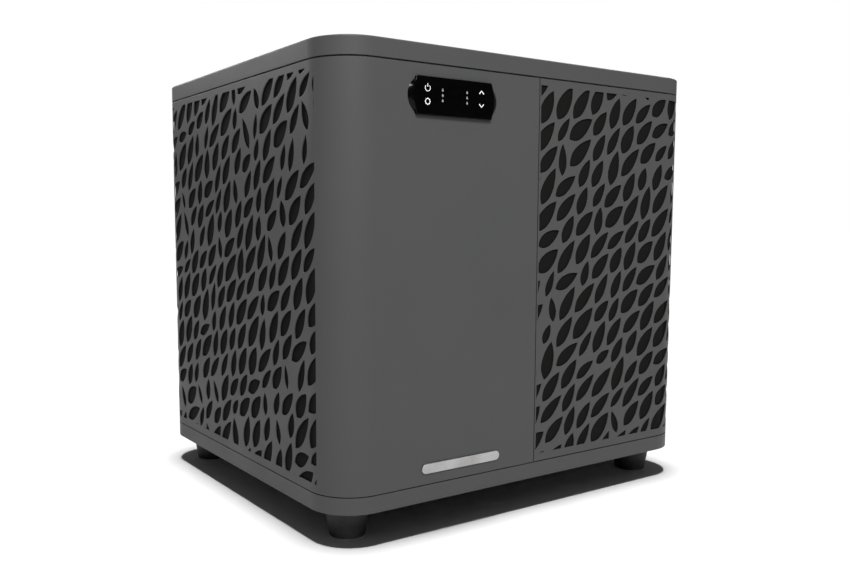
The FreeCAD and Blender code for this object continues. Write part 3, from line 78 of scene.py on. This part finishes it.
class Surface:
    """A node material with the shared building blocks of every finish on the unit."""

    def __init__(self, name):
        self.material = bpy.data.materials.new(name)
        self.material.use_nodes = True
        self.tree = self.material.node_tree
        self.shader = self.tree.nodes["Principled BSDF"]
        self.place = self.add("ShaderNodeTexCoord").outputs["Object"]
        self.height = None

    def add(self, kind, **settings):
        node = self.tree.nodes.new(kind)
        for key, value in settings.items():
            setattr(node, key, value)
        return node

    def link(self, source, target):
        self.tree.links.new(source, target)

    def stretched(self, scale):
        mapping = self.add("ShaderNodeMapping")
        mapping.inputs["Scale"].default_value = scale
        self.link(self.place, mapping.inputs["Vector"])
        return mapping.outputs["Vector"]

    def noise(self, scale, detail=3.0, place=None):
        node = self.add("ShaderNodeTexNoise")
        node.inputs["Scale"].default_value = scale
        node.inputs["Detail"].default_value = detail
        self.link(place or self.place, node.inputs["Vector"])
        return node.outputs["Fac"]

    def cells(self, scale, place=None, output="Color"):
        node = self.add("ShaderNodeTexVoronoi")
        node.inputs["Scale"].default_value = scale
        self.link(place or self.place, node.inputs["Vector"])
        return node.outputs[output]

    def ridges(self, direction, scale):
        node = self.add("ShaderNodeTexWave", bands_direction=direction)
        node.inputs["Scale"].default_value = scale
        self.link(self.place, node.inputs["Vector"])
        return node.outputs["Fac"]

    def remap(self, value, low, high, to_low, to_high):
        node = self.add("ShaderNodeMapRange")
        for name, number in (("From Min", low), ("From Max", high),
                             ("To Min", to_low), ("To Max", to_high)):
            node.inputs[name].default_value = number
        self.link(value, node.inputs["Value"])
        return node.outputs["Result"]

    def maths(self, operation, first, second):
        node = self.add("ShaderNodeMath", operation=operation)
        for socket, value in zip(node.inputs, (first, second)):
            if isinstance(value, (int, float)):
                socket.default_value = value
            else:
                self.link(value, socket)
        return node.outputs["Value"]

    def mix(self, factor, first, second):
        node = self.add("ShaderNodeMix", data_type="RGBA")
        colours = [socket for socket in node.inputs if socket.type == "RGBA"]
        for socket, value in ((node.inputs["Factor"], factor), (colours[0], first),
                              (colours[1], second)):
            if isinstance(value, bpy.types.NodeSocket):
                self.link(value, socket)
            else:
                socket.default_value = value
        return [socket for socket in node.outputs if socket.type == "RGBA"][0]

    def edges(self, radius):
        """1 along edges that catch wear, 0 on open faces."""
        bevel = self.add("ShaderNodeBevel", samples=4)
        bevel.inputs["Radius"].default_value = radius
        geometry = self.add("ShaderNodeNewGeometry")
        product = self.add("ShaderNodeVectorMath", operation="DOT_PRODUCT")
        self.link(bevel.outputs["Normal"], product.inputs[0])
        self.link(geometry.outputs["Normal"], product.inputs[1])
        return self.remap(product.outputs["Value"], 0.985, 0.80, 0.0, 1.0)

    def painted_crevice_shade(self, reach):
        """1 on open faces, falling to almost 0 inside seams and narrow gaps; an ambient-occlusion mask
        used for painted shade.
        """
        node = self.add("ShaderNodeAmbientOcclusion", samples=4)
        node.inputs["Distance"].default_value = reach
        return self.remap(node.outputs["AO"], 0.15, 0.5, 0.12, 1.0)

    def bump(self, height, depth, strength=1.0, radius=None):
        node = self.add("ShaderNodeBump")
        node.inputs["Distance"].default_value = depth
        node.inputs["Strength"].default_value = strength
        self.link(height, node.inputs["Height"])
        if self.height is not None:
            self.link(self.height, node.inputs["Normal"])
        elif radius:
            bevel = self.add("ShaderNodeBevel", samples=4)
            bevel.inputs["Radius"].default_value = radius
            self.link(bevel.outputs["Normal"], node.inputs["Normal"])
        self.height = node.outputs["Normal"]
        self.link(self.height, self.shader.inputs["Normal"])

    def colour(self, value):
        self.link(value, self.shader.inputs["Base Color"])

    def rough(self, value):
        self.link(value, self.shader.inputs["Roughness"])

    def constant(self, **values):
        for name, value in values.items():
            self.shader.inputs[name.replace("_", " ")].default_value = value


def rgb(red, green, blue):
    return (red, green, blue, 1.0)


def grey(level, warm=0.0):
    return rgb(level * (1 + warm), level, level * (1 - warm))


# ---------------------------------------------------------------- finishes

def powder_coat(name, level):
    """Satin graphite powder coat: fine orange peel, faint cloudiness, rubbed edges and painted shade
    in seams and narrow gaps.
    """
    look = Surface(name)
    cloud = look.noise(9.0, 4.0)
    speck = look.noise(2600.0, 2.0)
    tone = look.mix(cloud, rgb(level * 0.93, level * 0.94, level * 0.955),
                    rgb(level * 1.05, level * 1.05, level * 1.05))
    tone = look.mix(look.remap(speck, 0.35, 0.75, 0.0, 0.22), tone, grey(level * 1.5))
    rubbed = look.remap(look.noise(60.0), 0.35, 0.7, 0.1, 0.6)
    wear = look.maths("MULTIPLY", look.edges(0.0009), rubbed)
    worn = look.mix(wear, tone, grey(level * 1.9))
    # painted shade: inside seams and narrow gaps the colour falls towards near black, standing in for
    # the shade there
    look.colour(look.mix(look.painted_crevice_shade(0.006), grey(level * 0.04), worn))
    rough = look.remap(look.noise(14.0, 5.0), 0.3, 0.7, 0.44, 0.54)
    look.rough(look.maths("SUBTRACT", rough, look.maths("MULTIPLY", wear, 0.12)))
    look.constant(Specular_IOR_Level=0.16)
    look.bump(look.noise(1500.0, 2.0), 0.00006, 0.55, radius=0.0006)
    return look.material


def rubber(name):
    look = Surface(name)
    dust = look.noise(55.0, 6.0)
    look.colour(look.mix(look.remap(dust, 0.45, 0.75, 0.0, 0.5), grey(0.012), grey(0.035)))
    look.rough(look.remap(look.noise(300.0), 0.3, 0.7, 0.55, 0.72))
    look.bump(look.noise(1800.0), 0.0001, 0.5, radius=0.0008)
    return look.material


def fine_net(name):
    """A black net: crossed sets of threads, with painted shade making the gaps between them darker."""
    look = Surface(name)
    across = look.maths("MAXIMUM", look.ridges("X", 125.0), look.ridges("Y", 125.0))
    weave = look.maths("MAXIMUM", across, look.ridges("Z", 125.0))
    # painted shade: the gaps between the threads are coloured darker, standing in for the shade seen
    # through them
    look.colour(look.mix(look.remap(weave, 0.55, 0.95, 0.0, 1.0), grey(0.0030), grey(0.0080, 0.03)))
    look.rough(look.remap(weave, 0.0, 1.0, 0.85, 0.6))
    look.constant(Specular_IOR_Level=0.02)
    look.bump(weave, 0.0003, 0.8)
    return look.material


def moulded_black(name):
    look = Surface(name)
    look.colour(look.mix(look.noise(20.0), grey(0.0096), grey(0.0168)))
    look.rough(look.remap(look.noise(90.0, 5.0), 0.3, 0.7, 0.5, 0.66))
    look.constant(Specular_IOR_Level=0.15)
    look.bump(look.cells(1400.0, output="Distance"), 0.00008, 0.5, radius=0.0006)
    return look.material


def gloss_black(name):
    """The pod's polished black front, with faint wiping marks."""
    look = Surface(name)
    wipe = look.noise(1.0, 5.0, look.stretched((40.0, 40.0, 220.0)))
    look.colour(look.mix(wipe, rgb(0.0006, 0.0006, 0.0007), rgb(0.0013, 0.0013, 0.0015)))
    look.rough(look.remap(wipe, 0.35, 0.7, 0.12, 0.2))
    look.constant(Specular_IOR_Level=0.12)
    look.bump(look.noise(12.0, 1.0), 0.00005, 0.2)
    return look.material


def painted_steel(name, level, rough=0.42):
    look = Surface(name)
    rubbed = look.remap(look.noise(80.0), 0.4, 0.65, 0.0, 0.8)
    wear = look.maths("MULTIPLY", look.edges(0.001), rubbed)
    tone = look.mix(look.noise(30.0, 5.0), grey(level * 0.85), grey(level * 1.2))
    look.colour(look.mix(wear, tone, grey(0.22)))
    look.rough(look.remap(look.noise(120.0, 4.0), 0.3, 0.7, rough - 0.06, rough + 0.08))
    look.bump(look.noise(700.0), 0.00008, 0.5, radius=0.0006)
    return look.material


def bare_metal(name, base, alternate, rough, stretch):
    """Drawn, brushed or plated metal: streaks along the stretch and dull patches."""
    look = Surface(name)
    streak = look.noise(1.0, 4.0, look.stretched(stretch))
    patch = look.noise(28.0, 6.0)
    tone = look.mix(streak, base, alternate)
    dull = rgb(base[0] * 0.7, base[1] * 0.66, base[2] * 0.62)
    look.colour(look.mix(look.remap(patch, 0.45, 0.8, 0.0, 0.7), tone, dull))
    look.rough(look.remap(streak, 0.25, 0.75, rough - 0.07, rough + 0.1))
    look.constant(Metallic=1.0)
    look.bump(streak, 0.00004, 0.5, radius=0.0005)
    return look.material


def spangled_zinc(name):
    look = Surface(name)
    flakes = look.cells(160.0)
    bright = look.remap(flakes, 0.0, 1.0, 0.0, 1.0)
    look.colour(look.mix(bright, grey(0.40), grey(0.62)))
    look.rough(look.remap(bright, 0.0, 1.0, 0.32, 0.48))
    look.constant(Metallic=1.0)
    look.bump(look.noise(600.0), 0.00004, 0.4, radius=0.0005)
    return look.material


def finned_aluminium(name):
    """Coil faces: thin upright fins at 1.8 mm pitch, with painted shade making the gaps between them
    dark.
    """
    look = Surface(name)
    fins_and_gap_shade = look.maths("MAXIMUM", look.ridges("X", 88.0), look.ridges("Y", 88.0))
    # painted shade: the gaps between the fins are coloured near black, standing in for the shade
    # between them
    look.colour(look.mix(look.remap(fins_and_gap_shade, 0.5, 0.95, 0.0, 1.0), grey(0.03), grey(0.55)))
    look.rough(look.remap(look.noise(50.0), 0.3, 0.7, 0.35, 0.5))
    look.constant(Metallic=0.9)
    look.bump(fins_and_gap_shade, 0.0006, 0.9)
    return look.material


def cast_surface(name, level):
    look = Surface(name)
    look.colour(look.mix(look.noise(120.0, 6.0), grey(level * 0.8), grey(level * 1.2, 0.04)))
    look.rough(look.remap(look.noise(300.0, 5.0), 0.3, 0.7, 0.5, 0.7))
    look.constant(Metallic=0.85)
    look.bump(look.noise(900.0, 4.0), 0.0002, 0.7, radius=0.0008)
    return look.material


def pipe_plastic(name, base):
    look = Surface(name)
    darker = rgb(base[0] * 0.86, base[1] * 0.86, base[2] * 0.84)
    tone = look.mix(look.noise(18.0, 5.0), darker, base)
    wear = look.maths("MULTIPLY", look.edges(0.0012), 0.35)
    look.colour(look.mix(wear, tone, grey(0.8)))
    look.rough(look.remap(look.noise(160.0, 5.0), 0.3, 0.7, 0.3, 0.45))
    look.bump(look.noise(420.0, 3.0), 0.0001, 0.4, radius=0.0009)
    return look.material


def circuit_board(name):
    look = Surface(name)
    traces = look.add("ShaderNodeTexBrick")
    traces.inputs["Scale"].default_value = 160.0
    traces.inputs["Mortar Size"].default_value = 0.06
    traces.inputs["Color1"].default_value = rgb(0.005, 0.075, 0.02)
    traces.inputs["Color2"].default_value = rgb(0.006, 0.10, 0.03)
    traces.inputs["Mortar"].default_value = rgb(0.02, 0.2, 0.06)
    look.link(look.stretched((1.0, 1.0, 1.6)), traces.inputs["Vector"])
    pads = look.remap(look.cells(220.0, output="Distance"), 0.0, 0.22, 1.0, 0.0)
    look.colour(look.mix(pads, traces.outputs["Color"], rgb(0.55, 0.5, 0.4)))
    look.rough(look.remap(look.noise(200.0), 0.3, 0.7, 0.3, 0.45))
    look.bump(pads, 0.0002, 0.6)
    return look.material


def printed_white_painted_glow(name):
    look = Surface(name)
    look.colour(look.mix(look.noise(900.0), grey(0.72), grey(0.85)))
    look.rough(look.remap(look.noise(400.0), 0.3, 0.7, 0.4, 0.55))
    # painted glow: a faint emission makes the white ink glow though it is no lamp
    look.constant(Emission_Color=rgb(0.9, 0.93, 1.0), Emission_Strength=0.3)
    return look.material


def printed_grey(name):
    look = Surface(name)
    look.colour(look.mix(look.noise(900.0), grey(0.22), grey(0.32)))
    look.rough(look.remap(look.noise(400.0), 0.3, 0.7, 0.4, 0.55))
    return look.material


FINISHES = {
    "body_paint": powder_coat("graphite_powder_coat", PAINT_LEVEL),
    "cover_plastic": powder_coat("graphite_powder_coat_cover", PAINT_LEVEL),
    "rubber": rubber("foot_rubber"),
    "net": fine_net("black_net"),
    "black_plastic": moulded_black("moulded_black"),
    "black_gloss": gloss_black("pod_gloss_black"),
    "dark_steel": painted_steel("dark_steel", 0.010),
    "zinc": spangled_zinc("spangled_zinc"),
    "stainless": bare_metal("stainless", grey(0.55), grey(0.7), 0.3, (300.0, 300.0, 300.0)),
    "aluminium": finned_aluminium("finned_aluminium"),
    "black_paint": painted_steel("black_enamel", 0.012, 0.3),
    "iron": cast_surface("machined_iron", 0.25),
    "copper": bare_metal("copper_tube", rgb(0.78, 0.36, 0.2), rgb(0.9, 0.47, 0.29), 0.28,
                         (90.0, 90.0, 90.0)),
    "pvc_grey": pipe_plastic("grey_pipe_plastic", rgb(0.10, 0.11, 0.12)),
    "pvc_white": pipe_plastic("white_pipe_plastic", rgb(0.72, 0.72, 0.69)),
    "titanium": bare_metal("titanium_tube", grey(0.36, 0.03), grey(0.48, 0.03), 0.34,
                           (200.0, 200.0, 200.0)),
    "board": circuit_board("circuit_board"),
    "badge": bare_metal("badge_brushed", grey(0.34), grey(0.52), 0.30, (30.0, 30.0, 2600.0)),
}


def dress_frame():
    slots = {row["node"]: row["material_slot"] for row in frame["record"]["subparts"]}
    for name, thing in nodes.items():
        thing.data.materials.clear()
        thing.data.materials.append(FINISHES[slots[name]])
    nodes["fan_motor"].data.materials[0] = bare_metal(
        "motor_casting", grey(0.5), grey(0.62), 0.4, (120.0, 120.0, 120.0))
    nodes["fan_bracket"].data.materials[0] = FINISHES["dark_steel"]


# ---------------------------------------------------------------- touch symbols on the pod

class Print:
    """Thin raised ink on the pod's front, drawn in millimetres right and up from a symbol's middle."""

    THICKNESS = 0.12
    SUNK = 0.02

    def __init__(self, name, right, up):
        self.name = name
        self.right = right
        self.up = up
        self.mesh = bmesh.new()

    def strip(self, points, width, closed=False):
        """A band of even width along a line of points."""
        count = len(points)
        rows = []
        for index, point in enumerate(points):
            before = points[index - 1] if index or closed else point
            after = points[(index + 1) % count] if index < count - 1 or closed else point
            along = Vector(after) - Vector(before)
            side = Vector((-along.y, along.x)).normalized() * (width / 2)
            rows.append((Vector(point) + side, Vector(point) - side))
        verts = [[self.mesh.verts.new((p.x, 0, p.y)) for p in row] for row in rows]
        last = count if closed else count - 1
        for index in range(last):
            first, second = verts[index], verts[(index + 1) % count]
            self.mesh.faces.new((first[0], first[1], second[1], second[0]))

    def disc(self, middle, radius, sides=20):
        ring = [self.mesh.verts.new((middle[0] + radius * math.cos(2 * math.pi * k / sides), 0,
                                     middle[1] + radius * math.sin(2 * math.pi * k / sides)))
                for k in range(sides)]
        self.mesh.faces.new(ring)

    def polygon(self, points):
        self.mesh.faces.new([self.mesh.verts.new((x, 0, y)) for x, y in points])

    def finish(self, middle, front, material):
        made = bpy.data.meshes.new(self.name)
        grown = bmesh.ops.extrude_face_region(self.mesh, geom=self.mesh.faces[:])
        tops = [item for item in grown["geom"] if isinstance(item, bmesh.types.BMVert)]
        bmesh.ops.translate(self.mesh, verts=tops, vec=(0, -self.THICKNESS, 0))
        bmesh.ops.recalc_face_normals(self.mesh, faces=self.mesh.faces[:])
        bmesh.ops.scale(self.mesh, vec=(MM, MM, MM), verts=self.mesh.verts[:])
        self.mesh.to_mesh(made)
        self.mesh.free()
        made.materials.append(material)
        thing = bpy.data.objects.new(self.name, made)
        bpy.context.scene.collection.objects.link(thing)
        thing.location = (middle.x + self.right * MM, front + self.SUNK * MM,
                          middle.z + self.up * MM)
        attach(thing, "casing")


def arc_points(radius, start, stop, count):
    step = (stop - start) / (count - 1)
    return [(radius * math.cos(math.radians(start + step * k)),
             radius * math.sin(math.radians(start + step * k))) for k in range(count)]


POWER_SPOT = (-37.5, 8.0)
SETTINGS_SPOT = (-37.5, -6.0)
STATUS_COLUMNS = (("left", -17.5), ("right", 16.0))
STATUS_HEIGHT = 1.3
STATUS_STEP = 5.6
ARROWS = (("up", 9.0, 1), ("down", -5.4, -1))
ARROW_COLUMN = 36.5


def pod_symbols():
    low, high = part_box("control_glass")
    middle = (low + high) / 2
    front = low.y
    ink = printed_white_painted_glow("printed_white_painted_glow")
    grey_ink = printed_grey("printed_grey")
    power = Print("symbol_power", *POWER_SPOT)
    power.strip(arc_points(3.3, 132, 408, 26), 0.55)
    power.strip([(0, 1.1), (0, 4.6)], 0.6)
    power.finish(middle, front, ink)
    cog = Print("symbol_settings", *SETTINGS_SPOT)
    cog.strip(arc_points(2.9, 0, 345, 24), 0.5, closed=True)
    for angle in range(0, 360, 45):
        inner, outer = arc_points(3.1, angle, angle, 2)[0], arc_points(3.7, angle, angle, 2)[0]
        cog.strip([inner, outer], 0.9)
    cog.finish(middle, front, ink)
    for word, right in STATUS_COLUMNS:
        lamps = Print("status_marks_" + word, right, STATUS_HEIGHT)
        for up in (STATUS_STEP, 0.0, -STATUS_STEP):
            lamps.disc((0, up), 1.15)
            lamps.polygon([(-0.9, up + 0.7), (0.9, up + 0.7), (0, up + 2.2)])
        lamps.finish(middle, front, grey_ink)
    for word, up, sign in ARROWS:
        arrow = Print("symbol_" + word, ARROW_COLUMN, up)
        arrow.strip([(-3.2, -1.6 * sign), (0, 1.6 * sign), (3.2, -1.6 * sign)], 0.9)
        arrow.finish(middle, front, ink)


# ---------------------------------------------------------------- softened edges

SOFT_EDGE_ANGLE = math.radians(40)
SOFT_EDGES = {      # millimetres
    "rubber_foot_front_left": 2.0, "rubber_foot_front_right": 2.0,
    "rubber_foot_rear_left": 2.0, "rubber_foot_rear_right": 2.0,
    "base_pan": 0.35, "left_shell_front": 0.15, "right_shell_rear": 0.15,
    "badge_plate": 0.5, "union_nut_inlet": 0.8, "union_nut_outlet": 0.8,
    "union_tail_inlet": 0.6, "union_tail_outlet": 0.6, "cable_gland": 0.5,
    "fan_motor": 1.5, "compressor_shell": 2.5, "accumulator": 2.5, "fan_guard": 0.4,
    "casing_screws": 0.4, "fan_nut": 0.4, "exchanger_lid": 1.2, "drain_nozzle": 0.5,
}


def soften_edges():
    for name, width in SOFT_EDGES.items():
        bevel = nodes[name].modifiers.new("soft_edge", "BEVEL")
        bevel.width = width * MM
        bevel.segments = 3
        bevel.limit_method = "ANGLE"
        bevel.angle_limit = SOFT_EDGE_ANGLE
        bevel.harden_normals = True


# ---------------------------------------------------------------- floor, light, camera

def floor_material():
    look = Surface("studio_floor")
    look.colour(look.mix(look.noise(3.0, 2.0), grey(0.80), grey(0.83)))
    look.rough(look.remap(look.noise(30.0), 0.3, 0.7, 0.5, 0.6))
    look.bump(look.noise(400.0), 0.0001, 0.2)
    return look.material


def studio_air():
    """White behind everything; as a light it is soft from above and dim at floor level."""
    world = bpy.data.worlds.new("studio_air")
    world.use_nodes = True
    tree = world.node_tree
    output = tree.nodes["World Output"]
    seen = tree.nodes["Background"]
    seen.inputs["Color"].default_value = (1.0, 1.0, 1.0, 1.0)
    seen.inputs["Strength"].default_value = BACKDROP_STRENGTH
    lit = tree.nodes.new("ShaderNodeBackground")
    place = tree.nodes.new("ShaderNodeTexCoord")
    parts = tree.nodes.new("ShaderNodeSeparateXYZ")
    height = tree.nodes.new("ShaderNodeMapRange")
    for name, number in (("From Min", 0.0), ("From Max", HIGH_FROM),
                         ("To Min", LEVEL_LIGHT), ("To Max", HIGH_LIGHT)):
        height.inputs[name].default_value = number
    path = tree.nodes.new("ShaderNodeLightPath")
    choice = tree.nodes.new("ShaderNodeMixShader")
    tree.links.new(place.outputs["Generated"], parts.inputs["Vector"])
    tree.links.new(parts.outputs["Z"], height.inputs["Value"])
    tree.links.new(height.outputs["Result"], lit.inputs["Strength"])
    tree.links.new(path.outputs["Is Camera Ray"], choice.inputs["Fac"])
    tree.links.new(lit.outputs["Background"], choice.inputs[1])
    tree.links.new(seen.outputs["Background"], choice.inputs[2])
    tree.links.new(choice.outputs["Shader"], output.inputs["Surface"])
    bpy.context.scene.world = world


def studio():
    bpy.ops.mesh.primitive_plane_add(size=FLOOR_SIZE, location=(0, 0, 0))
    floor = bpy.context.object
    floor.name = "studio_floor"
    floor.data.materials.append(floor_material())
    studio_air()
    unit = collection_of("lit_by_panels", [
        thing for thing in bpy.context.scene.objects if thing.type == "MESH" and thing != floor])
    for panel in PANELS:
        area_light(*panel, unit)
    floor_light(collection_of("floor_only", [floor]))


def collection_of(name, things):
    group = bpy.data.collections.new(name)
    for thing in things:
        group.objects.link(thing)
    return group


def area_light(name, spot, aim, width, height, power, unit):
    """A panel that models the unit's shape and leaves the floor to the light from above."""
    lamp = bpy.data.lights.new(name, "AREA")
    lamp.shape = "RECTANGLE"
    lamp.size = width
    lamp.size_y = height
    lamp.energy = power
    thing = bpy.data.objects.new(name, lamp)
    bpy.context.scene.collection.objects.link(thing)
    thing.location = spot
    thing.visible_camera = False
    thing.light_linking.receiver_collection = unit
    away = Vector(spot) - Vector(aim)
    thing.rotation_mode = "QUATERNION"
    thing.rotation_quaternion = away.to_track_quat("Z", "Y")


def floor_light(floor_only):
    sun = bpy.data.lights.new("floor_light", "SUN")
    sun.energy = FLOOR_LIGHT_STRENGTH
    sun.angle = math.radians(FLOOR_LIGHT_ANGLE)
    thing = bpy.data.objects.new("floor_light", sun)
    bpy.context.scene.collection.objects.link(thing)
    thing.location = (0, 0, 3)
    thing.light_linking.receiver_collection = floor_only


def camera():
    cover_low, cover_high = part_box("top_cover")
    case_middle = (cover_low + cover_high) / 2
    data = bpy.data.cameras.new("photo_camera")
    data.sensor_width = 36.0
    data.lens = CAMERA_LENS
    data.shift_x, data.shift_y = CAMERA_SHIFT
    data.clip_start = 0.01
    data.clip_end = 100.0
    thing = bpy.data.objects.new("photo_camera", data)
    bpy.context.scene.collection.objects.link(thing)
    thing.location = (case_middle.x + CAMERA_FROM_CASE[0], case_middle.y + CAMERA_FROM_CASE[1],
                      CAMERA_HEIGHT)
    thing.rotation_euler = (math.radians(CAMERA_TILT), 0, math.radians(CAMERA_TURN))
    bpy.context.scene.camera = thing


dress_frame()
soften_edges()
pod_symbols()
studio()
camera()
bpy.context.scene.view_settings.view_transform = "Standard"
